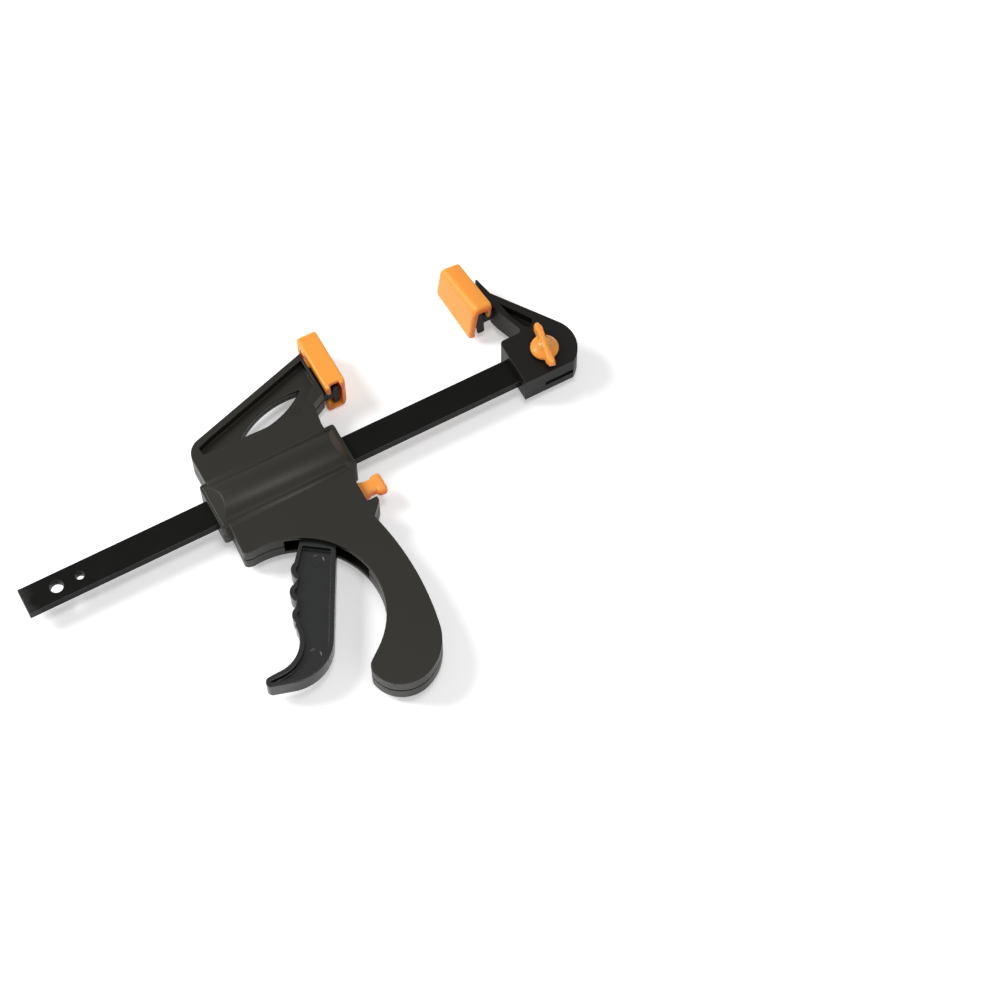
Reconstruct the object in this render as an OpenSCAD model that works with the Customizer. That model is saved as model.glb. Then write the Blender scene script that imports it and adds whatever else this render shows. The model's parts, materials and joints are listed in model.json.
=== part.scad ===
// Quick release bar clamp: a one-handed trigger clamp that runs on a flat steel bar.
// X runs along the bar towards the fixed jaw, Y across it towards the pads, Z up.
// The origin is the middle of the round hole at the bar's free end, on the bar's upper face.

/* [Bar] */
// Overall length of the bar
bar_len = 309.5; // [220:0.5:950]
// Width of the bar
bar_w = 15; // [12:0.5:20]
// Thickness of the bar
bar_t = 5; // [4:0.25:8]
// Distance of the round hole from the bar's free end
hole_inset = 18; // [14:0.5:24]
// Distance of the other round hole from the end inside the fixed jaw
jaw_inset = 14; // [12:0.5:20]
// Diameter of the round holes for the knob's screw
hole_d = 7; // [6.5:0.1:9]
// Diameter of the small holes beside them
small_hole_d = 4.5; // [3:0.1:6]
// Distance between the two holes of a pair
hole_step = 12.6; // [9:0.1:16]

/* [Jaws] */
// Throat: from the bar's edge to the outer tip of the pads
throat = 60; // [45:1:100]
// Opening between the two gripping faces as the clamp lies
opening = 71.6; // [40:0.1:150]
// Length of a pad, across the bar
pad_len = 35.6; // [26:0.1:50]
// Height of a pad, through the clamp's thickness
pad_h = 20.4; // [17:0.1:28]
// Depth of a pad, along the bar
pad_depth = 13.1; // [12:0.1:18]
// Thickness of a pad's gripping wall
pad_face_t = 3.3; // [2:0.1:5]
// Thickness of the lips that hook behind the jaw's head
pad_lip_t = 2.2; // [1.5:0.1:3]
// Height of the slot between the lips
pad_slot_h = 8.6; // [6:0.1:10]
// Thickness of the rounded head that a pad rocks on
head_t = 4; // [3:0.1:6]
// Height of that head
head_h = 9.8; // [9:0.1:12]
// Thickness of the neck that carries the head
neck_t = 3.4; // [2.5:0.1:5]
// How far the fixed pad leans back at its top edge, in degrees
fixed_pad_lean = 8; // [-9:0.5:9]
// How far the fixed pad is turned towards the movable pad at its tip, in degrees
fixed_pad_turn = 0; // [0:0.5:3]
// How far the fixed pad is raised at its end near the bar, in degrees
fixed_pad_tip = 5; // [0:0.5:6]
// How far the fixed pad is slid outwards on its head
fixed_pad_shift = 2.7; // [0:0.1:4]

/* [Housing] */
// Thickness of the housing's flat part, both shells together
body_t = 16; // [14:0.5:24]
// Wall thickness of the shells
wall = 2.2; // [1.6:0.1:3]
// Wall of the boss beside the springs
boss_wall = 3.2; // [2:0.1:6]
// Wall of the crowns over the springs
crown_wall = 2.9; // [2:0.1:5]
// Width of a crown at its foot
crown_w = 24.4; // [23:0.2:27]
// Radius of the fillet between a crown and the flat face
crown_fillet = 6; // [2:0.5:10]
// Length of that boss
boss_len = 76; // [74:0.5:90]
// Thickness of the boss's end walls
end_wall = 6.2; // [5:0.1:8]
// Radius of the hollow side of the grip
hollow_r = 43; // [40:0.5:50]
// Radius of the grip's back
back_r = 157; // [140:1:200]
// Radius of the grip's side above the heel
side_r = 27; // [24:0.5:30]
// Radius of the heel at the grip's lower end
heel_r = 17.3; // [15:0.1:20]
// Radius of the toe that the heel ends in
toe_r = 6; // [4:0.25:8]
// Width of the rim around the pocket in the arm
rim_w = 3.4; // [2.5:0.1:6]
// Depth of that pocket
pocket_depth = 4.8; // [2:0.1:6]

/* [Trigger] */
// Width of the trigger, through the clamp's thickness
trigger_w = 10.4; // [8:0.1:12]
// Width of the rim around the trigger's recessed web
trigger_rim = 2.6; // [1.5:0.1:4]
// Thickness of that web
trigger_web = 4; // [2:0.1:8]
// Diameter of the trigger's pivot pin
pin_d = 5; // [4:0.1:6]
// Height of the trigger's nose over its pivot, the short arm of the lever
nose_arm = 12.5; // [10:0.5:14]
// Radius of the rounded nose
nose_r = 3; // [2:0.1:4]

/* [Mechanism] */
// Thickness of one drive plate
drive_t = 3; // [2:0.1:4]
// Thickness of the brake plate
brake_t = 4; // [3:0.1:5]
// Tilt of the brake plate when it holds, in degrees
brake_tilt = 8; // [5:0.5:10]
// Side clearance of the plates between the shells
plate_gap = 0.1; // [0.1:0.05:0.5]
// Wire thickness of both coil springs
wire_d = 1.7; // [1.2:0.1:2]
// Clearance of both coil springs over the bar's corners
coil_gap = 0.6; // [0.4:0.1:1.2]
// Length of the release button outside the housing
button_out = 11.6; // [9:0.1:16]

/* [Fixed jaw] */
// Thickness of the fixed jaw
jaw_t = 17; // [14:0.5:24]
// Length of the fixed jaw along the bar
jaw_len = 36.4; // [34:0.1:50]
// Thickness of the jaw's wall behind the bar's end
jaw_end = 4.1; // [3.5:0.1:6]
// Diameter of the knob's disc
knob_d = 16.4; // [12:0.2:22]
// Length of the wing across the knob
wing_len = 26; // [20:0.5:36]
// Diameter of the knob's screw
screw_d = 6; // [5:0.5:8]
// Width across the flats of its nut
nut_af = 10; // [8:0.5:13]
// Height of its nut
nut_h = 5; // [4:0.5:6.5]

/* [Fits] */
// Sliding clearance between the bar and what runs on it, each side
slide_gap = 0.2; // [0.1:0.05:0.4]
// Running clearance between a pin or screw and its hole, on the radius
pin_gap = 0.05; // [0.02:0.01:0.1]
// Clearance between moving parts that do not guide each other
free_gap = 0.4; // [0.3:0.05:0.8]

/* [Hidden] */
$fn = 56;

mid_z = -bar_t / 2;
half_w = bar_w / 2;
half_body = body_t / 2;
cav_z = half_body - wall;
tip_y = half_w + throat;

// Springs round the bar, the room they turn in, and the boss and crowns over them.
coil_d = 2 * (norm([half_w, bar_t / 2]) + coil_gap + wire_d);
chamber_r = coil_d / 2 + free_gap;
boss_w = 2 * (chamber_r + boss_wall);
boss_r = chamber_r + crown_wall;
crown_h = boss_r - half_body;
plate_w = 2 * (cav_z - plate_gap);

// Pads: the head's middle is the point a pad rocks about.
head_x = pad_lip_t + (pad_depth - pad_lip_t - pad_face_t) / 2;
pad_front = pad_depth - head_x;
head_y = tip_y - pad_len + 15.1;
head_len = 18;
bore_h = head_h + 1;

// Along the bar: knob, fixed jaw, fixed pad, then the opening back to the housing.
knob_x = bar_len - hole_inset - jaw_inset;
bar_end = bar_len - hole_inset;
jaw_x1 = bar_end + jaw_end;
jaw_x0 = jaw_x1 - jaw_len;
fixed_head_x = jaw_x0 - 0.4;
face_x = fixed_head_x - pad_front - opening;
move_head_x = face_x - pad_front;
arm_front = 80;
neck_gap = 1.6;
house_x = move_head_x - head_x - neck_gap - arm_front;

// Grip outline, from the boss's rear end: hollow, toe, heel and back circles.
hollow_c = [12, -half_w - 67.3];
side_c = [44, -half_w - 99.5];
heel_a = -71;
heel_c = side_c + (side_r - heel_r) * [cos(heel_a), sin(heel_a)];
toe_a = 190;
toe_c = heel_c + (heel_r - toe_r) * [cos(toe_a), sin(toe_a)];
back_a = -12.4;
back_c = side_c - (back_r - side_r) * [cos(back_a), sin(back_a)];
to_toe = toe_c - hollow_c;
hollow_end = atan2(to_toe[1], to_toe[0]) + acos((hollow_r + toe_r) / norm(to_toe));
lug_y = -half_w - 26.7;
front_x = 70.8;
foot_x = 3;
arm_y0 = tip_y - pad_len + 1.1;
arm_y1 = tip_y - 7.9;
rear_y = half_w + 24.5;

// Trigger and plates.
pivot = [44, -half_w - 17.5];
nose_c = [pivot[0] - 1.7, pivot[1] + nose_arm];
drive_x = nose_c[0] - nose_r - 0.05;
spring_x0 = end_wall;
spring_x1 = drive_x - 2 * drive_t;
brake_seat = 49;
brake_tail = bar_w + 16;
brake_pivot = [front_x - wall - free_gap - brake_tail * sin(brake_tilt) - brake_t / 2 * cos(brake_tilt),
  half_w + 5];
brake_hole = (bar_w + brake_t * sin(brake_tilt)) / cos(brake_tilt) + slide_gap;
brake_lo = brake_pivot[1] + half_w + 13;
screw_spots = [[9.5, -half_w - 15], [10, half_w + 15.5], [64, half_w + 14], [61, -half_w - 34],
  [63.5, -half_w - 80], [45, -half_w - 115]];

function arc(c, r, a0, a1, n) =
  [for (i = [0:n]) let (a = a0 + (a1 - a0) * i / n) c + r * [cos(a), sin(a)]];

// The housing's outline, drawn inwards by e. The first stretch is the grip.
function outline(e) = concat(
  arc(heel_c, heel_r - e, toe_a, 360 + heel_a, 18),
  arc(side_c, side_r - e, heel_a + 3, back_a, 12),
  arc(back_c, back_r - e, back_a + 1, 13, 14),
  [[76.3 - e, lug_y - 2.4 - e / 3], [76.3 - e, lug_y - e], [front_x - e, lug_y - e]],
  [[front_x - e, half_w + 9.1], [72.4 - e, half_w + 21.6 + e], [arm_front - e, arm_y0 + e]],
  [[arm_front - e, arm_y1 - e]],
  arc([13.8, rear_y - 3.1], 10 - e, 107.5, 180, 10),
  [[foot_x + 0.8 + e, -half_w - 9]],
  arc([foot_x + 2.5, -half_w - 21.7], 2.5 - min(e, 2.4), 180, 265, 6),
  arc(hollow_c, hollow_r + e, 97, hollow_end, 30),
  arc(toe_c, toe_r - e, hollow_end + 180, toe_a - 2, 10));

module set_down() {
  translate([0, 0, mid_z]) children();
}

module at_housing() {
  translate([house_x, 0, mid_z]) children();
}

// A box centred in Y and Z, from x0 to x1.
module bar_box(x0, x1, w, t) {
  translate([x0, -w / 2, -t / 2]) cube([x1 - x0, w, t]);
}

module rod_x(x0, x1, r) {
  translate([x0, 0, 0]) rotate([0, 90, 0]) cylinder(h = x1 - x0, r = r);
}

module rod_z(p, z0, z1, r) {
  translate([p[0], p[1], z0]) cylinder(h = z1 - z0, r = r);
}

// Rounded rectangle from [x0, y0] to [x1, y1], made of a cross and four circles.
module round_rect(x0, y0, x1, y1, r) {
  translate([x0 + r, y0]) square([x1 - x0 - 2 * r, y1 - y0]);
  translate([x0, y0 + r]) square([x1 - x0, y1 - y0 - 2 * r]);
  for (x = [x0 + r, x1 - r], y = [y0 + r, y1 - r]) translate([x, y]) circle(r = r);
}

module bar() {
  color("#2b2c2d") set_down() difference() {
    translate([-hole_inset, -half_w, -bar_t / 2]) cube([bar_len, bar_w, bar_t]);
    for (x = [0, knob_x]) rod_z([x, 0], -bar_t, bar_t, hole_d / 2);
    for (x = [hole_step, knob_x - hole_step]) rod_z([x, 0], -bar_t, bar_t, small_hole_d / 2);
  }
}

// The boss along the bar: a block with a crown on each face, cut at 45 degrees at its ends.
crown_r = (crown_w * crown_w / 4 + crown_h * crown_h) / 2 / crown_h;
crown_drop = crown_r - boss_r;
fillet_y = sqrt(pow(crown_r + crown_fillet, 2) - pow(crown_drop + half_body + crown_fillet, 2));
module boss_solid() {
  translate([0, 0, -half_body]) linear_extrude(height = body_t)
    round_rect(0, -boss_w / 2, boss_len, boss_w / 2, 1.6);
  for (s = [0, 1]) mirror([0, 0, s]) {
    intersection() {
      translate([0, 0, -crown_drop]) rod_x(0, boss_len, crown_r);
      translate([0, boss_w / 2, 0]) rotate([90, 0, 0]) linear_extrude(height = boss_w)
        polygon([[1.3, 0], [boss_len - 1.3, 0], [boss_len - 1.3, half_body],
          [boss_len - crown_h - 1.4, boss_r], [crown_h + 1.4, boss_r], [1.3, half_body]]);
    }
    // Fillets along both feet of the crown.
    difference() {
      translate([foot_x + 1.5, -fillet_y, half_body - 1])
        cube([front_x - foot_x - 2, 2 * fillet_y, 1 + crown_fillet * 0.28]);
      for (y = [-fillet_y, fillet_y]) translate([0, y, half_body + crown_fillet])
        rod_x(0, boss_len, crown_fillet);
    }
  }
}

// Pocket in the arm: a long wedge inside the rim, open to the outer face.
pocket_a = atan2(arm_y1 - rear_y - 6.4, arm_front - 10.8);
module pocket_shape() {
  intersection() {
    union() {
      polygon([[11.5, half_w + 21.5], [64.5, half_w + 20.3], [69.6, half_w + 24.5],
        [78.6, half_w + 33.5], [78.6, arm_y1], [9.7, rear_y + 2], [9.7, half_w + 23.5]]);
      translate([11.6, half_w + 23.4]) circle(r = 1.9);
      translate([64.6, half_w + 22.5]) circle(r = 2.2);
    }
    translate([10.8, rear_y + 6.4]) rotate(pocket_a) translate([-4, -60 - rim_w]) square([90, 60]);
  }
}

// Lens-shaped hole through the pocket's floor, where two circles overlap.
lens_mid = [50.9, half_w + 29.3];
lens_r = 48;
lens_off = lens_r - 4.85;
module lens_shape() {
  translate(lens_mid) rotate(16) intersection() {
    translate([0, lens_off]) circle(r = lens_r, $fn = 160);
    translate([0, -lens_off]) circle(r = lens_r, $fn = 160);
  }
}

module jaw_head(x0, x1, y_mid) {
  // Neck and rounded head, with the head's middle at x1 and its ends tapered.
  translate([min(x0, x1), y_mid - head_len / 2 + 3, -neck_t / 2])
    cube([abs(x1 - x0), head_len - 6, neck_t]);
  translate([x1, y_mid, 0]) intersection() {
    translate([0, head_len / 2, 0]) rotate([90, 0, 0]) linear_extrude(height = head_len)
      round_rect(-head_t / 2, -head_h / 2, head_t / 2, head_h / 2, head_t / 2 - 0.1);
    translate([-head_t, 0, 0]) rotate([90, 0, 90]) linear_extrude(height = 2 * head_t)
      polygon([[-head_len / 2, -head_h / 2 + 0.8], [-3, -head_h / 2], [3, -head_h / 2],
        [head_len / 2, -head_h / 2 + 0.8], [head_len / 2, head_h / 2 - 0.8],
        [3, head_h / 2], [-3, head_h / 2], [-head_len / 2, head_h / 2 - 0.8]]);
  }
}

// Everything of the housing about the middle plane; a shell keeps one half of it.
module housing_solid() {
  difference() {
    union() {
      translate([0, 0, -half_body]) linear_extrude(height = body_t) polygon(outline(0));
      boss_solid();
    }
    // Parting groove all round.
    difference() {
      translate([-1, -half_w - 150, -0.6]) cube([100, 300, 1.2]);
      translate([0, 0, -1]) linear_extrude(height = 2) polygon(outline(0.6));
      bar_box(-1, boss_len + 1, boss_w - 1.2, 2);
      bar_box(0.6, boss_len - 0.6, boss_w, 2);
    }
    // Hollow of body and grip.
    intersection() {
      translate([0, 0, -cav_z]) linear_extrude(height = 2 * cav_z) polygon(outline(wall));
      translate([end_wall, -half_w - 140, -half_body])
        cube([front_x - wall - end_wall, half_w + 158, body_t]);
    }
    translate([0, 0, -cav_z]) linear_extrude(height = 2 * cav_z) intersection() {
      polygon(outline(wall));
      translate([0, -half_w - 140]) square([100, 100 - 26.7]);
    }
    rod_x(end_wall, boss_len - end_wall, chamber_r);
    // Pockets and the lens hole in the arm.
    for (s = [0, 1]) mirror([0, 0, s]) translate([0, 0, half_body - pocket_depth])
      linear_extrude(height = pocket_depth + 1) pocket_shape();
    translate([0, 0, -half_body]) linear_extrude(height = body_t) lens_shape();
    // Lightening hollows inside the arm, clear of the pocket.
    translate([0, 0, -cav_z]) linear_extrude(height = 2 * cav_z)
      polygon([[16, half_w + 13], [57, half_w + 13], [57, half_w + 17], [16, half_w + 20.5]]);
    // Mouth for the trigger in the hollow side.
    translate([24, -half_w - 60, -trigger_w / 2 - free_gap])
      cube([32, 50, trigger_w + 2 * free_gap]);
    // Slot for the release button in the front wall.
    translate([front_x - 6, -half_w - 25.6, -3.6]) cube([12, 14.6, 7.2]);
  }
}

// Ribs, seats and posts inside, before the bar and the screws are cut through them.
module housing_inside() {
  // Wall that the brake spring pushes from.
  rod_x(brake_seat - 2.5, brake_seat, chamber_r + 0.5);
  // Notch that holds the top of the brake plate, between two ribs.
  translate([front_x - 4.2, half_w + 3.2, -cav_z]) cube([2.4, 4.2, 2 * cav_z]);
  // Stop that the drive plates are pressed against at their upper end.
  translate([drive_x + 0.05, half_w + 1.6, -cav_z]) cube([3, 4.4, 2 * cav_z]);
  translate([drive_x + 0.05, half_w + 5.4, -cav_z]) cube([20, 2, 2 * cav_z]);
  for (p = screw_spots) rod_z(p, -cav_z, cav_z, 3.6);
  // Posts that carry the pivot pin on both sides of the trigger.
  difference() {
    rod_z(pivot, -half_body + 0.5, half_body - 0.5, pin_d / 2 + 1.8);
    rod_z(pivot, -trigger_w / 2 - free_gap, trigger_w / 2 + free_gap, pin_d);
  }
}

module housing_whole() {
  difference() {
    union() {
      housing_solid();
      housing_inside();
      jaw_head(arm_front - 0.5, arm_front + neck_gap + head_x, head_y);
    }
    bar_box(-1, boss_len + 1, bar_w + 2 * slide_gap, bar_t + 2 * slide_gap);
    rod_z(pivot, -half_body + 1.4, half_body - 1.4, pin_d / 2 + pin_gap);
  }
}

module housing_front() {
  color("#3a3937") at_housing() difference() {
    intersection() {
      housing_whole();
      translate([-5, -half_w - 150, 0]) cube([120, 300, boss_r + 5]);
    }
    for (p = screw_spots) rod_z(p, -1, half_body - 2.4, 1.45 + pin_gap);
  }
}

module housing_back() {
  color("#3a3937") at_housing() difference() {
    intersection() {
      housing_whole();
      translate([-5, -half_w - 150, -boss_r - 5]) cube([120, 300, boss_r + 5]);
    }
    for (p = screw_spots) {
      rod_z(p, -half_body - 1, 1, 1.8);
      rod_z(p, -half_body - 1, -half_body + 2.6, 3.1);
    }
  }
}

module shell_screws() {
  color("#b9bbbc") at_housing() for (p = screw_spots) difference() {
    union() {
      rod_z(p, -half_body + 2.6, half_body - 3.2, 1.45);
      rod_z(p, -half_body + 0.7, -half_body + 2.6, 2.8);
    }
    // Cross recess.
    for (a = [45, 135]) translate([p[0], p[1], -half_body + 0.6]) rotate(a)
      translate([-1.6, -0.35, 0]) cube([3.2, 0.7, 1.3]);
  }
}

// Trigger outline in the housing's frame, drawn inwards by e: back of the hook, straight
// back, three finger swells, inside of the hook and its rounded end.
trig_top = -half_w - 27.5;
trig_back = 61.7;
hook_c = [0.8, -half_w - 74.3];
hook_r = 23.8;
inner_c = [-9, -half_w - 71];
inner_r = 17.3;
end_c = [-15.2, -half_w - 91.3];
web_top = [34.3, -half_w - 34.3];
mark_spots = [[10.2, -half_w - 87.4], [34.6, -half_w - 42]];
mark_r = 3.2;
mark_depth = 0.3;
swells = [[25, -half_w - 44], [19, -half_w - 54.7], [14.5, -half_w - 66.5]];
function back_x(y, e) = hook_c[0] + ((hook_r - e) - (y - hook_c[1]) * sin(trig_back - 90))
  / cos(trig_back - 90);
function trigger_outline(e) = concat(
  arc(hook_c, hook_r - e, -109, trig_back - 90, 20),
  [[back_x(trig_top, e), trig_top], [32.6 + e, trig_top]],
  arc(swells[0], 5.5 - e, 105, 222, 8),
  arc(swells[1], 5.5 - e, 100, 222, 8),
  arc(swells[2], 5.5 - e, 105, 200, 8),
  arc(inner_c, inner_r + e, 2, -94, 16),
  arc(end_c, max(2.8 - e, 0.4), 95, 255, 10));

module trigger() {
  color("#33343a") at_housing() difference() {
    union() {
      translate([0, 0, -trigger_w / 2]) linear_extrude(height = trigger_w)
        polygon(trigger_outline(0));
      // Upper part inside the housing, with the nose that pushes the plates.
      translate([0, 0, -trigger_w / 2]) linear_extrude(height = trigger_w)
        polygon([[32.6, trig_top - 1], [back_x(trig_top, 0), trig_top - 1],
          [back_x(trig_top, 0), trig_top], [pivot[0] + 7, pivot[1]],
          [nose_c[0] + nose_r, nose_c[1]], [nose_c[0] - nose_r, nose_c[1]],
          [nose_c[0] - nose_r + 0.4, pivot[1] + 2], [32.6, trig_top]]);
      rod_z(nose_c, -trigger_w / 2, trigger_w / 2, nose_r);
      rod_z(pivot, -trigger_w / 2, trigger_w / 2, 7);
    }
    // Recessed web on both faces, inside the rim.
    for (s = [0, 1]) mirror([0, 0, s]) translate([0, 0, trigger_web / 2])
      linear_extrude(height = trigger_w) intersection() {
        polygon(trigger_outline(trigger_rim));
        translate(web_top) rotate(-36) translate([-100, -120]) square([200, 120]);
      }
    // Round marks of the ejector pins in the web.
    for (s = [-1, 1], p = mark_spots)
      rod_z(p, s * trigger_web / 2 - mark_depth, s * trigger_web / 2 + mark_depth, mark_r);
    rod_z(pivot, -trigger_w, trigger_w, pin_d / 2 + pin_gap);
  }
}

module trigger_pin() {
  color("#c9cbcc") at_housing() rod_z(pivot, -half_body + 1.7, half_body - 1.7, pin_d / 2);
}

module drive_plate(x0) {
  difference() {
    translate([x0, -half_w - 8, -plate_w / 2]) cube([drive_t, bar_w + 12, plate_w]);
    bar_box(x0 - 1, x0 + drive_t + 1, bar_w + 2 * slide_gap, bar_t + 2 * slide_gap);
  }
}

module drive_plate_rear() {
  color("#8f9294") at_housing() drive_plate(drive_x - 2 * drive_t);
}

module drive_plate_front() {
  color("#8f9294") at_housing() drive_plate(drive_x - drive_t);
}

// Coil spring along X, in rounded steps: each turn is a ring cut open and leaned.
module coil(x0, x1, turns) {
  r = coil_d / 2 - wire_d / 2;
  pitch = (x1 - x0 - wire_d) / turns;
  for (i = [0:turns]) translate([x0 + wire_d / 2 + i * pitch, 0, 0]) rotate([0, 90, 0])
    rotate_extrude($fn = 48) translate([r, 0]) circle(r = wire_d / 2, $fn = 16);
  for (i = [0:turns - 1]) translate([x0 + wire_d / 2 + i * pitch, 0, 0])
    rotate([180 * (i % 2), 0, 0]) translate([0, r, 0]) rotate([0, 90, 0])
      cylinder(h = pitch, r = wire_d / 2 - 0.1, $fn = 16);
}

module drive_spring() {
  color("#a4a7a9") at_housing() coil(spring_x0, spring_x1, 4);
}

module brake_plate() {
  color("#8f9294") at_housing() translate(brake_pivot) rotate(brake_tilt) difference() {
    translate([-brake_t / 2, -brake_lo, -plate_w / 2]) cube([brake_t, brake_lo + 1.6, plate_w]);
    translate([-brake_t, -brake_pivot[1] / cos(brake_tilt) - brake_hole / 2, -bar_t / 2 - slide_gap])
      cube([2 * brake_t, brake_hole, bar_t + 2 * slide_gap]);
    for (s = [-1, 1]) translate([-brake_t, -brake_lo - 1, s * 4.85 - 1.95])
      cube([2 * brake_t, 7, 3.9]);
  }
}

module brake_spring() {
  color("#a4a7a9") at_housing() coil(brake_seat, brake_pivot[0] - brake_t / 2 + 0.1, 3);
}

// Release button: a tab pushed over the brake plate's tongue, with a wide thumb head.
module release_button() {
  color("#f0862b") at_housing() difference() {
    union() {
      linear_extrude(height = 6, center = true) {
        round_rect(front_x - 6.8, -half_w - 22, front_x + button_out - 3, -half_w - 12.4, 1.2);
        translate([front_x + button_out, -half_w - 17.4]) intersection() {
          circle(r = 6.2);
          translate([-5, -6]) square([5, 12]);
        }
      }
    }
    translate(brake_pivot) rotate(brake_tilt)
      translate([-brake_t / 2 - 0.02, -brake_lo - 0.02, -2.92]) cube([brake_t + 0.04, 7.5, 5.84]);
  }
}

// A pad, with the point it rocks about at the origin and its face towards +X.
module pad() {
  y0 = -15.1;
  y1 = pad_len + y0;
  x0 = -head_x;
  x1 = pad_front;
  edge = 2.4;
  corner = 4.4;
  difference() {
    intersection() {
      translate([x0, 0, 0]) rotate([90, 0, 90]) linear_extrude(height = pad_depth)
        round_rect(y0, -pad_h / 2, y1, pad_h / 2, corner);
      translate([0, y1, 0]) rotate([90, 0, 0]) linear_extrude(height = pad_len)
        polygon(concat([[x0, -pad_h / 2 + 0.8], [x0 + 0.8, -pad_h / 2]],
          arc([x1 - edge, edge - pad_h / 2], edge, -90, 0, 6),
          arc([x1 - edge, pad_h / 2 - edge], edge, 0, 90, 6),
          [[x0 + 0.8, pad_h / 2], [x0, pad_h / 2 - 0.8]]));
      linear_extrude(height = pad_h + 2, center = true)
        polygon(concat([[x0, y0]], arc([x1 - 5.2, y0 + 5.2], 5.2, -90, 0, 8),
          arc([x1 - edge, y1 - edge], edge, 0, 90, 6), [[x0 + 0.8, y1], [x0, y1 - 0.8]]));
    }
    translate([0, y1 - 3, 0]) rotate([90, 0, 0]) linear_extrude(height = pad_len)
      round_rect(x0 + pad_lip_t, -bore_h / 2, x1 - pad_face_t, bore_h / 2, 2);
    translate([x0 - 1, y0 - 1, -pad_slot_h / 2]) cube([pad_lip_t + 3, pad_len - 2, pad_slot_h]);
  }
}

module movable_pad() {
  color("#f79a3a") translate([move_head_x, head_y, mid_z]) pad();
}

module fixed_pad() {
  color("#f79a3a") translate([fixed_head_x, head_y, mid_z]) rotate([0, 0, fixed_pad_turn])
    rotate([-fixed_pad_tip, 0, 0]) rotate([0, fixed_pad_lean, 0]) mirror([1, 0, 0])
      translate([0, fixed_pad_shift, 0]) pad();
}

// Fixed jaw outline: square block on the bar, then the arm up to the pad's head.
jaw_y = half_w + 5.4;
jaw_front = fixed_head_x + head_x + neck_gap;
nose_round = 17.2;
jaw_mid = [jaw_x1 - nose_round, 1.5];
module jaw_shape() {
  polygon(concat(
    [[jaw_x0, -jaw_y]], arc(jaw_mid, nose_round, -57, 35, 14),
    [[jaw_front + 3.1, tip_y - 23.2], [jaw_front + 1, tip_y - 12.5], [jaw_front, tip_y - 12.5],
      [jaw_front, head_y - 10], [jaw_front + 0.9, head_y - 14.5]],
    arc([jaw_x0 + 10.9, jaw_y + 4.7], 2.2, 20, -90, 6),
    arc([jaw_x0 + 2.5, jaw_y], 2.5, 90, 180, 6)));
}

module fixed_jaw() {
  color("#3a3937") set_down() difference() {
    union() {
      translate([0, 0, -jaw_t / 2]) linear_extrude(height = jaw_t) jaw_shape();
      jaw_head(jaw_front + 0.5, fixed_head_x, head_y);
    }
    bar_box(jaw_x0 - 1, bar_end + 0.1, bar_w + 0.3, bar_t + 0.3);
    rod_z([knob_x, 0], -jaw_t, jaw_t, screw_d / 2 + 0.3);
    // Hexagon seat for the nut in the underside.
    translate([knob_x, 0, -jaw_t / 2 - 1]) cylinder(h = nut_h + 1.6, d = (nut_af + 0.3) / cos(30), $fn = 6);
    // Wedge-shaped recess along the arm, both faces.
    for (s = [0, 1]) mirror([0, 0, s]) translate([0, 0, jaw_t / 2 - 5.5])
      linear_extrude(height = 6) polygon([[jaw_front + 4.2, head_y - 10.4],
        [jaw_x1 - 14.4, half_w + 12.3], [jaw_x1 - 15.6, half_w + 9.8], [jaw_x1 - 18, half_w + 8],
        [jaw_x1 - 20.3, half_w + 10.3], [jaw_front + 5.8, half_w + 18.4]]);
    // Moulding groove along the lower edge.
    translate([jaw_x0 + 12, -jaw_y - 1, -3.4]) cube([jaw_len - 20, 2.2, 3.2]);
  }
}

knob_z = jaw_t / 2 + 1.2;
wing_a = 75;
module knob() {
  color("#f79a3a") set_down() translate([knob_x, 0, knob_z]) difference() {
    union() {
      rotate_extrude() polygon([[0, 0], [knob_d / 2 - 0.5, 0], [knob_d / 2, 0.7],
        [knob_d / 2, 2.4], [knob_d / 2 - 1.4, 3.6], [0, 5]]);
      rotate(wing_a) intersection() {
        linear_extrude(height = 8) polygon(concat(
          arc([wing_len / 2 - 1.6, 0], 1.6, -80, 80, 10), [[0, 3.4]],
          arc([1.6 - wing_len / 2, 0], 1.6, 100, 260, 10), [[0, -3.4]]));
        translate([0, 4, 0]) rotate([90, 0, 0]) linear_extrude(height = 8)
          polygon([[-wing_len / 2, 1.6], [-knob_d / 2, 0], [knob_d / 2, 0], [wing_len / 2, 1.6],
            [wing_len / 2, 5.4], [wing_len / 2 - 3, 7.2], [4, 7.8], [-4, 7.8],
            [3 - wing_len / 2, 7.2], [-wing_len / 2, 5.4]]);
      }
    }
    translate([0, 0, -1]) cylinder(h = 6.5, d = screw_d);
  }
}

module knob_screw() {
  color("#b9bbbc") set_down() rod_z([knob_x, 0], -jaw_t / 2 + 0.4, knob_z + 5.4, screw_d / 2 - 0.03);
}

module knob_washer() {
  color("#b9bbbc") set_down() difference() {
    rod_z([knob_x, 0], jaw_t / 2, knob_z, 6);
    rod_z([knob_x, 0], 0, knob_z + 1, screw_d / 2 + 0.2);
  }
}

module jaw_nut() {
  color("#b9bbbc") set_down() translate([knob_x, 0, -jaw_t / 2 + 0.6]) difference() {
    cylinder(h = nut_h, d = nut_af / cos(30), $fn = 6);
    translate([0, 0, -1]) cylinder(h = nut_h + 2, d = screw_d);
  }
}

bar();
housing_front();
housing_back();
shell_screws();
trigger();
trigger_pin();
drive_plate_rear();
drive_plate_front();
drive_spring();
brake_plate();
brake_spring();
release_button();
movable_pad();
fixed_jaw();
fixed_pad();
knob();
knob_screw();
knob_washer();
jaw_nut();
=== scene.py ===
import json
import math

import bmesh
import bpy
from mathutils import Matrix, Vector


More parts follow.
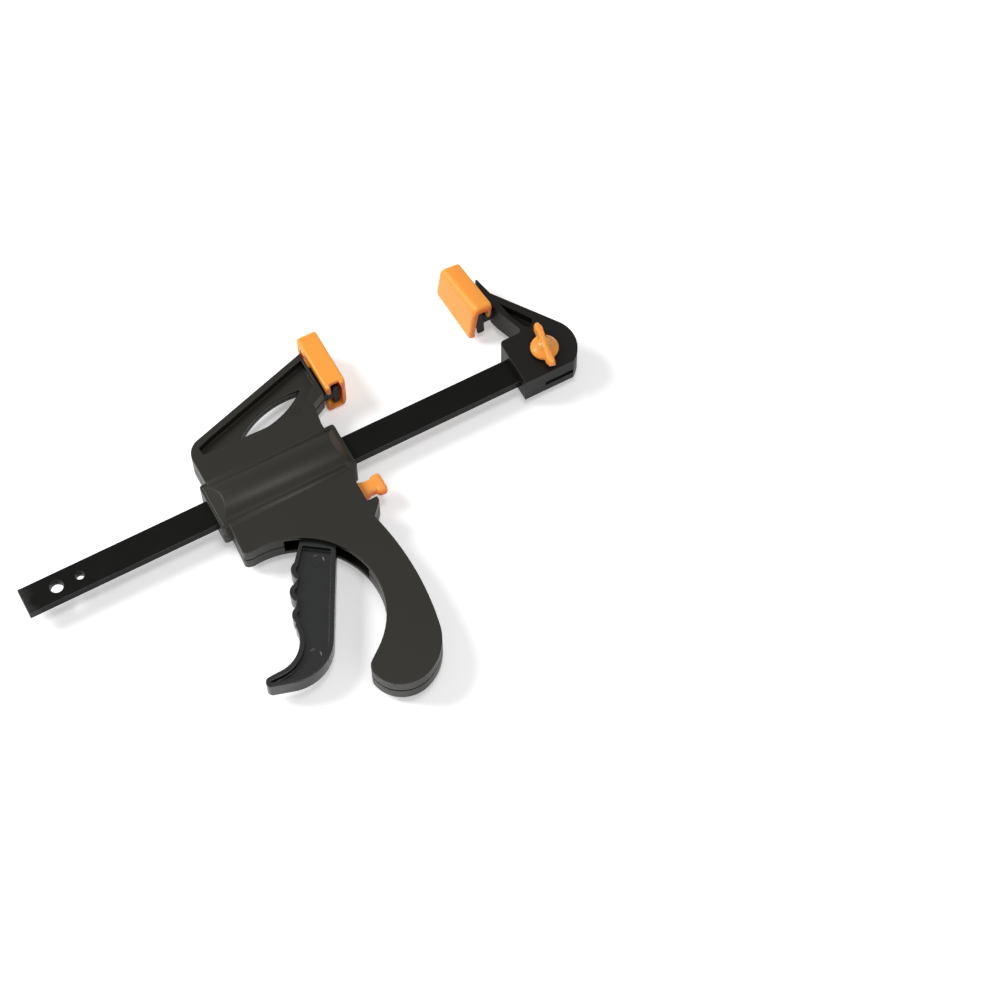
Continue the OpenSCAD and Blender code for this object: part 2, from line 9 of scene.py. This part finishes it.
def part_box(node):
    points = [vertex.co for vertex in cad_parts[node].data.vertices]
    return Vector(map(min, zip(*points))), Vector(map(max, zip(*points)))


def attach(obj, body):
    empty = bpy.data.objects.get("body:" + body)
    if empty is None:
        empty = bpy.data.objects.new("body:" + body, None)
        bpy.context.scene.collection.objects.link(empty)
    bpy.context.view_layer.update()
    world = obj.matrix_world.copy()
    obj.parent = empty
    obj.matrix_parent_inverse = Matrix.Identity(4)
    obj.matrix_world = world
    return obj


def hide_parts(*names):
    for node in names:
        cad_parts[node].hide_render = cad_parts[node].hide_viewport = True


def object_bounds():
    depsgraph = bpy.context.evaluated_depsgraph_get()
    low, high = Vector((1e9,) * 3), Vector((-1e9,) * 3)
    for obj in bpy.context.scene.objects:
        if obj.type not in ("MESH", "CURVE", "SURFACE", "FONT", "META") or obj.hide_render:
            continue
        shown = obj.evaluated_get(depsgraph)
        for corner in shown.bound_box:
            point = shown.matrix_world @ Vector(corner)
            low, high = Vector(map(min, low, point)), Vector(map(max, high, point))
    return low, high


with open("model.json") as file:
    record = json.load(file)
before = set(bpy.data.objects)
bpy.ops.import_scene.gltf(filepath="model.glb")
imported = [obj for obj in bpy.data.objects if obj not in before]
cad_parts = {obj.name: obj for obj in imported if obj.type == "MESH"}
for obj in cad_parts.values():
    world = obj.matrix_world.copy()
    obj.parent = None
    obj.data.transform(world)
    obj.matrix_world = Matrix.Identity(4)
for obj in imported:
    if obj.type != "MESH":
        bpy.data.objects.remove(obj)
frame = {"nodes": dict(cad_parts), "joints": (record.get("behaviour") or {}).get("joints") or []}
cad_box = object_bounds()
cad = frame["nodes"]
scene = bpy.context.scene


# The bar: a length of 15 x 5 mm flat steel, sheared to length, drilled twice near each end
# and blackened. The long edges are slightly rolled, so they catch a thin line of light,
# and the free end is a little scuffed where it is set down.

class Value:
    """A number that changes over a surface. Sums on it become Math nodes."""

    def __init__(self, nodes, socket):
        self.nodes = nodes
        self.socket = socket

    def sum(self, operation, *terms):
        settings = {"operation": operation}
        node = self.nodes.add("ShaderNodeMath", settings, dict(enumerate(terms)))
        return Value(self.nodes, node.outputs[0])

    def __add__(self, other):
        return self.sum("ADD", self, other)

    def __radd__(self, other):
        return self.sum("ADD", other, self)

    def __sub__(self, other):
        return self.sum("SUBTRACT", self, other)

    def __rsub__(self, other):
        return self.sum("SUBTRACT", other, self)

    def __mul__(self, other):
        return self.sum("MULTIPLY", self, other)

    def __rmul__(self, other):
        return self.sum("MULTIPLY", other, self)

    def clamped(self):
        node = self.nodes.add("ShaderNodeClamp", {}, {"Value": self})
        return Value(self.nodes, node.outputs[0])

    def between(self, low, high):
        """0 where the number is at low or before it, 1 where it is at high or past it."""
        return ((self - low) * (1 / (high - low))).clamped()


class Nodes:
    """The nodes of one material, or of the surround."""

    def __init__(self, tree):
        self.tree = tree
        self.tree.nodes.clear()

    def add(self, kind, settings=None, inputs=None):
        """Adds a node, sets its settings, then fills its sockets with values or links."""
        node = self.tree.nodes.new(kind)
        for name, value in (settings or {}).items():
            setattr(node, name, value)
        for name, value in (inputs or {}).items():
            self.fill(node.inputs[name], value)
        return node

    def fill(self, socket, value):
        if isinstance(value, Value):
            value = value.socket
        if isinstance(value, bpy.types.NodeSocket):
            self.tree.links.new(value, socket)
        else:
            socket.default_value = value


class Finish(Nodes):
    """A surface finish: one material, with what is the same all over it set at the start."""

    def __init__(self, name, constants):
        self.material = bpy.data.materials.new(name)
        self.material.use_nodes = True
        super().__init__(self.material.node_tree)
        self.shader = self.add("ShaderNodeBsdfPrincipled", {}, constants)
        self.add("ShaderNodeOutputMaterial", {}, {"Surface": self.shader.outputs[0]})

    def shade(self, links):
        """Links what varies over the surface to the shader and gives the material back."""
        for name, value in links.items():
            self.fill(self.shader.inputs[name], value)
        return self.material

    def place(self, stretch=(1, 1, 1)):
        """Place on the surface in metres, stretched to draw marks out along an axis."""
        coords = self.add("ShaderNodeTexCoord")
        inputs = {"Vector": coords.outputs["Object"], "Scale": stretch}
        return self.add("ShaderNodeMapping", {}, inputs).outputs[0]

    def noise(self, scale, detail, rough, stretch=(1, 1, 1)):
        """Soft random patches, scale of them per metre; 0.5 on average."""
        inputs = {"Vector": self.place(stretch), "Scale": scale, "Detail": detail,
                  "Roughness": rough}
        return Value(self, self.add("ShaderNodeTexNoise", {}, inputs).outputs[0])

    def measure(self, operation, first, second):
        """A number worked out from two vectors, such as the distance between them."""
        node = self.add("ShaderNodeVectorMath", {"operation": operation}, {0: first, 1: second})
        return Value(self, node.outputs["Value"])

    def facing(self):
        return self.add("ShaderNodeNewGeometry").outputs["Normal"]

    def edges(self, radius):
        """The normal as it would be with edges rounded to radius, and 1 along those edges."""
        soft = self.add("ShaderNodeBevel", {"samples": 8}, {"Radius": radius}).outputs[0]
        alike = self.measure("DOT_PRODUCT", soft, self.facing())
        return soft, (1 - alike).between(0.02, 0.25)

    def mix(self, amount, first, second):
        """The first colour where amount is 0, the second where it is 1."""
        # In a colour Mix node, sockets 6 and 7 are the colours and output 2 is their mix.
        node = self.add("ShaderNodeMix", {"data_type": "RGBA"}, {0: amount, 6: first, 7: second})
        return node.outputs[2]

    def bump(self, height, normal, metres, strength):
        """The normal tilted by a relief that is so many metres high."""
        inputs = {"Height": height, "Distance": metres, "Strength": strength, "Normal": normal}
        return self.add("ShaderNodeBump", {}, inputs).outputs[0]


def dress(node, finish, edge=None):
    """Gives a CAD node its finish and, where edge is given, rounds its edges to that radius."""
    touching, flat, sharp = 0.00001, math.radians(0.5), math.radians(34)
    piece = cad[node]
    piece.data.materials.clear()
    piece.data.materials.append(finish)
    if edge:
        piece.modifiers.new("joined", "WELD").merge_threshold = touching
        faces = piece.modifiers.new("faces", "DECIMATE")
        faces.decimate_type, faces.angle_limit = "DISSOLVE", flat
        rounding = piece.modifiers.new("rounding", "BEVEL")
        rounding.width, rounding.segments, rounding.harden_normals = edge, 3, True
        rounding.limit_method, rounding.angle_limit = "ANGLE", sharp


# Metres from the bar's free end at which its scuffing starts, and at which it is full.
SCUFFED = 0.0070, 0.0002
# A round dark mark near that end, with the radii at which it starts and is full.
MARK_MIDDLE = (-0.0118, -0.0021, 0.0025)
MARK_RADII = 0.0048, 0.0034
BAR_BLACK, BAR_GREY = (0.0026, 0.0028, 0.0023, 1), (0.0052, 0.0052, 0.0045, 1)
BARE_STEEL = (0.30, 0.30, 0.29, 1)


def blackened_steel():
    finish = Finish("blackened_steel", {"Specular IOR Level": 0.07})
    rolling = finish.noise(scale=1.0, detail=3.0, rough=0.6, stretch=(35, 1400, 1400))
    cloud = finish.noise(scale=60.0, detail=4.0, rough=0.6)
    scuffs = finish.noise(scale=900.0, detail=5.0, rough=0.75).between(0.62, 0.78)
    soft, edge = finish.edges(0.0007)
    black = finish.mix(cloud, BAR_BLACK, BAR_GREY)
    place = finish.place()
    along = Value(finish, finish.add("ShaderNodeSeparateXYZ", {}, {0: place}).outputs["X"])
    free_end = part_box("bar")[0].x
    end = along.between(*(free_end + distance for distance in SCUFFED))
    mark = finish.measure("DISTANCE", place, MARK_MIDDLE).between(*MARK_RADII)
    wear = edge * 0.7 * cloud + scuffs * 0.03 + end * (scuffs * 0.2 + rolling * 0.14)
    colour = finish.mix((wear * (1 - mark)).clamped(), black, BARE_STEEL)
    shine = 0.24 + rolling * 0.10 + cloud * 0.10 - edge * 0.08
    relief = finish.bump(rolling * 0.6 + scuffs * 0.2, soft, metres=0.00002, strength=0.6)
    return finish.shade({"Base Color": colour, "Roughness": shine, "Normal": relief})


dress("bar", blackened_steel(), edge=0.0005)


# The housing: two shells moulded in glass-filled nylon, charcoal, with a fine spark-eroded
# texture all over. They meet at the middle plane and are screwed together from the back.

def moulded_nylon(name, dark, light, rough, gloss, grain=2600.0, depth=0.00004, wear_and_highlight=0.15,
                  tint=(1.0, 0.985, 0.90, 1)):
    """A moulded plastic: even colour, a fine eroded texture and softly rounded edges.

    grain is how many spots of texture a metre holds, depth how deep they are in metres, the next
    setting how pale the edges are, partly as wear and partly as a painted highlight, and tint the
    colour of the gloss.
    """
    finish = Finish(name, {"Specular IOR Level": gloss, "Specular Tint": tint})
    cloud = finish.noise(scale=26.0, detail=3.0, rough=0.5)
    texture = finish.noise(scale=grain, detail=2.5, rough=0.6)
    rubs = finish.noise(scale=340.0, detail=5.0, rough=0.7).between(0.60, 0.80)
    soft, edge = finish.edges(0.0007)
    base = finish.mix(cloud, (*dark, 1), (*light, 1))
    pale = (*(channel * 3.0 for channel in light), 1)
    # Edges painted paler: partly wear, partly a painted highlight for the light they catch.
    colour = finish.mix((edge * wear_and_highlight + rubs * 0.06).clamped(), base, pale)
    shine = rough + texture * 0.12 - rubs * 0.05 - edge * 0.05
    relief = finish.bump(texture, soft, metres=depth, strength=0.35)
    return finish.shade({"Base Color": colour, "Roughness": shine, "Normal": relief})


shell_nylon = moulded_nylon("charcoal_nylon", dark=(0.0032, 0.0028, 0.0018),
                            light=(0.0060, 0.0054, 0.0038), rough=0.34, gloss=0.30)
dress("housing_front", shell_nylon, edge=0.0006)
dress("housing_back", shell_nylon, edge=0.0006)


# The fixed jaw: one solid moulding in a darker, flatter nylon, slid over the bar's end and
# held there by the knob's screw.

jaw_nylon_and_nose_shade = moulded_nylon("jaw_nylon_and_nose_shade", dark=(0.0030, 0.0027, 0.0024),
                          light=(0.0055, 0.0050, 0.0045), rough=0.36, gloss=0.15,
                          tint=(1.0, 0.95, 0.93, 1))
dress("fixed_jaw", jaw_nylon_and_nose_shade, edge=0.0011)


# The trigger: a separate moulding in a smoother, slightly bluer grade, with a rim round a
# thin web, so that it is stiff without sinking in. It hangs on its pin in the housing.

trigger_nylon = moulded_nylon("trigger_nylon", dark=(0.0040, 0.0044, 0.0046),
                              light=(0.0075, 0.0080, 0.0082), rough=0.18, gloss=0.34,
                              grain=3200.0, depth=0.000015, wear_and_highlight=0.10, tint=(1, 1, 1, 1))
dress("trigger", trigger_nylon, edge=0.0005)


# The pads: soft orange elastomer caps, moulded hollow with a slot at the back, that snap
# over the rounded heads of the jaws and rock on them.

def soft_orange(name, deep, bright, rough, painted_red_shade):
    """A satin elastomer: light passes a little way in, and the surface is faintly grained.

    The last argument sets how much redder and darker the sides turned to -y and down are painted:
    painted shade on the sides the lamps miss, with light through the slender lips at the end by
    the bar.
    """
    finish = Finish(name, {"Specular IOR Level": 0.34, "Subsurface Weight": 0.6,
                           "Subsurface Scale": 0.007, "Subsurface Radius": (1.0, 0.45, 0.15)})
    cloud = finish.noise(scale=45.0, detail=3.0, rough=0.5)
    texture = finish.noise(scale=2200.0, detail=2.0, rough=0.6)
    soft, edge = finish.edges(0.0006)
    base = finish.mix(cloud, (*deep, 1), (*bright, 1))
    # Painted shade: faces turned towards -y and down are tinted deep red, as if shaded and lit
    # through.
    shade_facing = finish.measure("DOT_PRODUCT", finish.facing(), (0, -1, -0.4))
    base = finish.mix(shade_facing.between(0.25, 0.85) * painted_red_shade, base, (1.0, 0.20, 0.05, 1))
    # Painted highlight: the rounded edges are painted a paler orange.
    colour = finish.mix(edge * 0.25, base, (0.98, 0.62, 0.30, 1))
    shine = rough + texture * 0.10 - edge * 0.06
    relief = finish.bump(texture, soft, metres=0.00003, strength=0.30)
    return finish.shade({"Base Color": colour, "Roughness": shine, "Normal": relief})


def rounded(low, high, *radii):
    """A rectangle with one corner radius, or four from the high corner against the clock."""
    steps = 6
    (y0, z0), (y1, z1) = low, high
    corners = ((y1, z1, -1, -1), (y0, z1, 1, -1), (y0, z0, 1, 1), (y1, z0, -1, 1))
    if len(radii) == 1:
        radii = radii * 4
    points = []
    for quarter, ((y, z, to_y, to_z), radius) in enumerate(zip(corners, radii)):
        for step in range(steps + 1):
            angle = math.radians(90 * (quarter + step / steps))
            out_y, out_z = to_y + math.cos(angle), to_z + math.sin(angle)
            points.append((y + radius * out_y, z + radius * out_z))
    return points


def along_y(sections):
    """Rings for a shape drawn out along y: each section is y, its two corners and its radius."""
    return [[(x, y, z) for x, z in rounded(low, high, radius)]
            for y, low, high, radius in sections]


def loft(shape, rings):
    """Adds a closed skin through rings of points, capped at both ends, to a bmesh."""
    rows = [[shape.verts.new(point) for point in ring] for ring in rings]
    for first, second in zip(rows, rows[1:]):
        for i in range(len(first)):
            j = (i + 1) % len(first)
            shape.faces.new((first[i], first[j], second[j], second[i]))
    shape.faces.new(rows[0][::-1])
    shape.faces.new(rows[-1])
    bmesh.ops.recalc_face_normals(shape, faces=shape.faces)


def temporary(name, solids):
    """An object of lofted solids, each given by its rings, to cut with or to be remade."""
    shape = bmesh.new()
    for rings in solids:
        loft(shape, rings)
    mesh = bpy.data.meshes.new(name)
    shape.to_mesh(mesh)
    shape.free()
    thing = bpy.data.objects.new(name, mesh)
    scene.collection.objects.link(thing)
    return thing


def moulding(name, solids, cuts, place, finish, grid, rounds):
    """Solids joined, cuts taken out and every edge rounded over, as a moulding comes.

    Solids and cuts are rings of points in millimetres, and place sets the result down. grid
    is the size of the skin's faces, and rounds says how often its edges are eased.
    """
    thing = temporary(name, solids)
    tools = [temporary("tool", [cut]) for cut in cuts]
    joined = thing.modifiers.new("joined", "REMESH")
    joined.mode, joined.voxel_size = "VOXEL", grid
    for tool in tools:
        cut = thing.modifiers.new("cut", "BOOLEAN")
        cut.operation, cut.solver, cut.object = "DIFFERENCE", "EXACT", tool
    skin = thing.modifiers.new("skin", "REMESH")
    skin.mode, skin.voxel_size, skin.use_smooth_shade = "VOXEL", grid, True
    soften = thing.modifiers.new("soften", "SMOOTH")
    soften.factor, soften.iterations = 0.5, rounds
    view = bpy.context.evaluated_depsgraph_get()
    mesh = bpy.data.meshes.new_from_object(thing.evaluated_get(view))
    for old in (thing, *tools):
        used = old.data
        bpy.data.objects.remove(old)
        bpy.data.meshes.remove(used)
    to_metres = Matrix.Scale(0.001, 4)
    mesh.transform(to_metres @ place)
    mesh.materials.clear()
    mesh.materials.append(finish)
    mesh.name = name
    piece = bpy.data.objects.new(name, mesh)
    scene.collection.objects.link(piece)
    return piece


def pivot(joint_name):
    """The point that a joint turns about, in millimetres."""
    return 1000 * Vector(next(j["pos_m"] for j in frame["joints"] if j["name"] == joint_name))


def turned(degrees, axis):
    return Matrix.Rotation(math.radians(degrees), 4, axis)


# A pad's own millimetres: x from its back to its gripping face, y outwards along the jaw
# and z up, from the middle of the head that it rocks on. The two pads are alike but for
# the notch at their mouth, and the fixed one sits on its jaw turned half round.
PAD_LOW, PAD_HIGH = (-6.0, -15.1, -10.2), (5.3, 20.5, 10.2)
# The outline's corner radii, from the tip's upper corner round against the clock.
PAD_CORNERS = (1.6, 1.3, 2.6, 2.4)
# How far the back rounds over, and the face: towards the bar, the tip, below and above.
BACK_ROUNDING, FACE_ROUNDING = 1.0, (2.4, 1.6, 3.4, 1.3)
# How much deeper the lower half is by the bar than at the tip, as a share.
LOW_END_DEEPER = 0.35
# The hollow that the head fills, the slot in the back that the jaw goes in by, and the
# wall left at the tip.
HOLLOW_BACK, HOLLOW_FRONT, HOLLOW_HALF = -3.8, 3.2, 5.4
SLOT_HALF = 4.3
TIP_WALL = 3.0
# The mouth, where the hollow opens out towards the bar: how far in from the end, its lowest
# and highest z, where its front wall is, and its corners' radius.
MOUTH = ((7, -9.6, 7.7, 3.2, 2.0), (3, -9.9, 7.8, 3.1, 2.0), (1, -10.1, 7.9, 2.6, 1.6),
         (-1, -10.3, 8.0, 2.2, 1.4))

pad_rubber = soft_orange("orange_elastomer", deep=(0.91, 0.315, 0.040),
                         bright=(0.96, 0.37, 0.051), rough=0.38, painted_red_shade=0.9)


def inset(depth, radius):
    """How far a rounded edge has drawn in at a depth below the face that it rounds into."""
    short = max(0.0, radius - depth)
    return radius - math.sqrt(radius * radius - short * short)


def deepened(points):
    """Outline points with the lower half drawn deeper, most at the end by the bar."""
    y0, y1 = PAD_LOW[1], PAD_HIGH[1]
    return [(x, y, z * (1 + LOW_END_DEEPER * (y1 - y) / (y1 - y0)) if z < 0 else z)
            for x, y, z in points]


def pad_rings():
    """The pad's outside: rounded outlines from the back lips to the gripping face."""
    (x0, y0, z0), (x1, y1, z1) = PAD_LOW, PAD_HIGH
    rings = []
    for x in (x0, x0 + 0.1, x0 + 0.4, x0 + 1, 0, 1.8, 2.5, 3.1, 3.7, 4.2, 4.6, 4.9, 5.1, 5.22, x1):
        back = inset(x - x0, BACK_ROUNDING)
        near, far, under, over = (max(back, inset(x1 - x, edge)) for edge in FACE_ROUNDING)
        ring = rounded((y0 + near, z0 + under), (y1 - far, z1 - over), *PAD_CORNERS)
        rings.append(deepened([(x, y, z) for y, z in ring]))
    return rings


def make_pad(name, place, notch_back, notch_low, notch_end):
    """A pad, whose notch opens the wall over its mouth as far in as notch_end."""
    x0, y0, y1 = PAD_LOW[0], PAD_LOW[1], PAD_HIGH[1]
    bore = along_y([(y, (HOLLOW_BACK, -HOLLOW_HALF), (HOLLOW_FRONT, HOLLOW_HALF), 2.0)
                    for y in (y1 - TIP_WALL, y0 + 4)])
    mouth = along_y([(y0 + depth, (HOLLOW_BACK, low), (front, high), radius)
                     for depth, low, high, front, radius in MOUTH])
    slot = along_y([(y, (x0 - 3, -SLOT_HALF), (-3, SLOT_HALF), 0.4)
                    for y in (y1 - TIP_WALL - 0.6, y0 - 2)])
    notch = along_y([(y, (notch_back, notch_low), (2.0, 12), 0.8)
                     for y in (y0 + notch_end, y0 - 2)])
    cuts = [bore, mouth, slot, notch]
    pad = moulding(name, [pad_rings()], cuts, place, pad_rubber, grid=0.25, rounds=4)
    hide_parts(name)
    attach(pad, name)


to_movable_head = Matrix.Translation(pivot("movable_pad_rock"))
half_turn = Matrix.Diagonal((-1, 1, -1, 1))
# The fixed pad rests a little off its pivot, where it has swung, tipped and leant over.
fixed_pad_middle = pivot("fixed_pad_rock") + Vector((-1.4, -0.95, 0.1))
to_fixed_pad = (Matrix.Translation(fixed_pad_middle) @ turned(2.1, "Z") @ turned(-2.2, "X")
                @ turned(9.8, "Y") @ half_turn @ Matrix.Translation((0, 2.7, 0)))
make_pad("movable_pad", to_movable_head, notch_back=-3.6, notch_low=6.0, notch_end=2.4)
make_pad("fixed_pad", to_fixed_pad, notch_back=-9.0, notch_low=3.4, notch_end=5.5)


# The heads' noses: the thin ends of the two jaws' heads, both in the fixed jaw's dark nylon. For
# the movable head, which is part of the housing, that darker nylon is painted shade, for the shade
# inside its pad's mouth. Each fills its pad's mouth, where it steadies the pad, and a web ties it
# back into the jaw.

def make_nose(name, place, start, front, top, body):
    """A nose, in its pad's millimetres: y starts at its end by the bar, and front and top
    are how far it reaches there.
    """
    blade = along_y([(-8.6, (-2, -8.2), (1.4, 6.4), 1.6), (-10.5, (-2, -8.4), (front, top), 1.2),
                     (start, (-2, -8.4), (front, top), 0.8)])
    web = along_y([(y, (-8.4, -3.2), (-1, 3.2), 0.5) for y in (-5.5, start + 0.3)])
    nose = moulding(name, [blade, web], [], place, jaw_nylon_and_nose_shade, grid=0.25, rounds=2)
    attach(nose, body)


to_fixed_head = Matrix.Translation(pivot("fixed_pad_rock")) @ turned(-5, "X") @ half_turn
# Painted shade: this nose belongs to the housing but takes the darker jaw nylon.
make_nose("movable_head_nose", to_movable_head, start=-13.6, front=1.5, top=6.4, body="housing")
make_nose("fixed_head_nose", to_fixed_head, start=-11.6, front=2.1, top=10.0,
          body="bar_with_jaw")


# The release button: a hard orange moulding with a waisted stem and a rounded head. It
# presses onto the end of the brake plate, which it tips when it is pushed.

button_orange = soft_orange("button_plastic", deep=(0.92, 0.30, 0.050),
                            bright=(0.97, 0.38, 0.065), rough=0.32, painted_red_shade=0.8)
# Across the stem at each x: where its two sides are, in y.
STEM = ((150.5, -31.1, -19.2), (157.4, -31.1, -19.2), (159.0, -29.8, -19.9),
        (161.4, -28.7, -20.4), (165.6, -28.7, -20.4))
# How far the head has drawn in from its full outline at each x.
HEAD = ((164.2, 1.6), (165.0, 0.5), (166.2, 0), (168.6, 0), (169.6, 0.6), (170.1, 1.8))
HEAD_LOW, HEAD_HIGH, HEAD_CORNER = (-30.9, -5.5), (-18.8, 0.5), 2.9


def make_button():
    stem = [[(x, y, z) for y, z in rounded((low, -5.4), (high, 0.4), 2.3)]
            for x, low, high in STEM]
    (y0, z0), (y1, z1) = HEAD_LOW, HEAD_HIGH
    head = []
    for x, drawn in HEAD:
        low, high = (y0 + drawn, z0 + drawn), (y1 - drawn, z1 - drawn)
        head.append([(x, y, z) for y, z in rounded(low, high, HEAD_CORNER - drawn)])
    place = Matrix.Identity(4)
    button = moulding("release_button", [stem, head], [], place, button_orange, grid=0.2,
                      rounds=7)
    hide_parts("release_button")
    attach(button, "brake")


make_button()


# The knob: an orange moulding, a disc with a cone on it and a wing across them, blended
# into each other. It is pressed onto the screw that holds the fixed jaw.

knob_orange = soft_orange("knob_plastic", deep=(0.91, 0.28, 0.038),
                          bright=(0.96, 0.35, 0.052), rough=0.14, painted_red_shade=0.5)
# The disc and its cone, from the washer up: radius and height.
DISC = ((6.8, 0.0), (7.5, 0.7), (7.5, 1.8), (6.9, 2.7), (6.0, 3.4), (4.9, 4.2), (4.0, 5.3),
        (3.5, 6.0), (2.5, 6.7), (1.0, 7.1))
SCREW_BORE = ((3.02, -2.0), (3.02, 5.5))
WING_REACH, WING_TOP, WING_TURN = 12.8, 7.6, 75


def turned_rings(profile):
    """Rings for a shape turned on a lathe, from the radius and height of each."""
    turns = [math.tau * k / 48 for k in range(48)]
    return [[(r * math.cos(a), r * math.sin(a), z) for a in turns] for r, z in profile]


def wing_rings():
    """Outlines across the wing, from one end to the other."""
    rings = []
    for tenth in range(-10, 11):
        along = tenth / 10
        reach = abs(along)
        # The crest widens outwards and closes in over the last fifth; the foot spreads
        # near the middle, to blend into the disc, and lifts clear of the jaw at the ends.
        crest = 1.25 + 1.0 * reach ** 1.5 - 1.2 * max(0.0, reach - 0.8) / 0.2
        foot_half = crest + 0.5 + 2.0 * max(0.0, 0.62 - reach)
        foot = 1.0 if reach < 0.55 else 1.0 + 1.7 * (reach - 0.55) / 0.45
        top = WING_TOP - 1.5 * reach ** 2.5
        sweep = 1.1 * along * reach
        outline = [(crest, top - 0.9), (0.6 * crest, top), (-0.6 * crest, top),
                   (-crest, top - 0.9), (-foot_half, foot + 1.4), (-foot_half, foot),
                   (foot_half, foot), (foot_half, foot + 1.4)]
        rings.append([(WING_REACH * along, sweep + y, z) for y, z in outline])
    return rings


def make_knob():
    middle = pivot("knob_turn")
    seat = 1000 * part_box("knob")[0].z
    place = Matrix.Translation((middle.x, middle.y, seat)) @ turned(WING_TURN, "Z")
    solids, cuts = [turned_rings(DISC), wing_rings()], [turned_rings(SCREW_BORE)]
    knob = moulding("knob", solids, cuts, place, knob_orange, grid=0.2, rounds=12)
    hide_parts("knob")
    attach(knob, "knob")


make_knob()


# The metal parts: the screws, nut, washer and pin are of zinc-plated steel, and the plates
# and springs of plain hardened steel, stamped and wound. The shell screws go in from the
# back, and the plates and springs work inside the housing.

def bright_steel(name, colour, rough):
    finish = Finish(name, {"Metallic": 1.0})
    turning = finish.noise(scale=1500.0, detail=3.0, rough=0.6)
    soft, edge = finish.edges(0.0002)
    dull = (*(channel * 0.82 for channel in colour), 1)
    tone = finish.mix(turning, (*colour, 1), dull)
    relief = finish.bump(turning, soft, metres=0.00001, strength=0.4)
    return finish.shade({"Base Color": tone, "Roughness": rough + turning * 0.12,
                         "Normal": relief})


zinc = bright_steel("zinc_plate", colour=(0.62, 0.63, 0.65), rough=0.24)
hard_steel = bright_steel("hardened_steel", colour=(0.36, 0.36, 0.37), rough=0.34)
for node in ("shell_screws", "knob_screw", "knob_washer", "jaw_nut", "trigger_pin"):
    dress(node, zinc)
for node in ("drive_plate_rear", "drive_plate_front", "brake_plate", "drive_spring",
             "brake_spring"):
    dress(node, hard_steel)


# The studio: the clamp lies on a white table in a pale surround, lit by a large lamp at the
# far left, two smaller ones and a soft fill from the front. The camera looks down at it.

WHITE = (1, 1, 1, 1)
SURROUND_STRENGTH = 0.25
TABLE_MIDDLE, TABLE_HALF = (0.14, -0.03), 6.0


def looked_at(nodes):
    """1 for what the camera sees, plainly or in a gloss, and 0 for what only lights."""
    rays = nodes.add("ShaderNodeLightPath").outputs
    return (Value(nodes, rays["Is Camera Ray"]) + Value(nodes, rays["Is Glossy Ray"])
            + Value(nodes, rays["Is Transmission Ray"])).clamped()


def studio_white():
    finish = Finish("studio_white", {"Base Color": (0.90, 0.90, 0.90, 1), "Roughness": 0.9,
                                     "Specular IOR Level": 0.1, "Emission Strength": 0.36})
    return finish.shade({"Emission Color": looked_at(finish)})


def make_table():
    mesh = bpy.data.meshes.new("table")
    shape = bmesh.new()
    bmesh.ops.create_grid(shape, x_segments=1, y_segments=1, size=TABLE_HALF)
    shape.to_mesh(mesh)
    shape.free()
    mesh.materials.append(studio_white())
    table = bpy.data.objects.new("table", mesh)
    table.location = (*TABLE_MIDDLE, cad_box[0].z)
    scene.collection.objects.link(table)


make_table()


def make_surround():
    """Dim light from all round for the object, plain white where it is seen or mirrored."""
    world = bpy.data.worlds.new("surround")
    world.use_nodes = True
    nodes = Nodes(world.node_tree)
    inputs = {"Color": WHITE, "Strength": SURROUND_STRENGTH}
    dim = nodes.add("ShaderNodeBackground", {}, inputs)
    plain = nodes.add("ShaderNodeBackground", {}, {"Color": WHITE, "Strength": 1.0})
    inputs = {0: looked_at(nodes), 1: dim.outputs[0], 2: plain.outputs[0]}
    choice = nodes.add("ShaderNodeMixShader", {}, inputs)
    nodes.add("ShaderNodeOutputWorld", {}, {"Surface": choice.outputs[0]})
    return world


scene.world = make_surround()
scene.view_settings.view_transform = "Standard"


def set_up(name, data, place, aim):
    """Puts a lamp or a camera at a place in metres, pointed at aim."""
    rig = bpy.data.objects.new(name, data)
    rig.location = place
    rig.rotation_euler = (Vector(aim) - Vector(place)).to_track_quat("-Z", "Y").to_euler()
    scene.collection.objects.link(rig)
    return rig


def soft_lamp(name, place, aim, size, watts):
    lamp = bpy.data.lights.new(name, "AREA")
    lamp.shape = "DISK"
    lamp.size = size
    lamp.energy = watts
    set_up(name, lamp, place, aim)


soft_lamp("window", (-0.80, 0.80, 1.24), (0.10, -0.02, 0), size=0.8, watts=25.5)
soft_lamp("left_card", (-0.80, 0.56, 0.68), (0.10, -0.02, 0), size=0.25, watts=1.4)
soft_lamp("overhead", (0.24, -0.14, 1.50), (0.12, -0.02, 0), size=0.4, watts=5.0)
soft_lamp("front_fill", (0.25, -0.95, 0.45), (0.16, 0.0, 0), size=0.8, watts=2.6)

lens = bpy.data.cameras.new("camera")
lens.lens = 90.0
lens.sensor_width = 36.0
lens.clip_end = 10.0
scene.camera = set_up("camera", lens, (-0.0695, -0.5832, 1.1155), (0.2190, -0.0585, -0.0107))
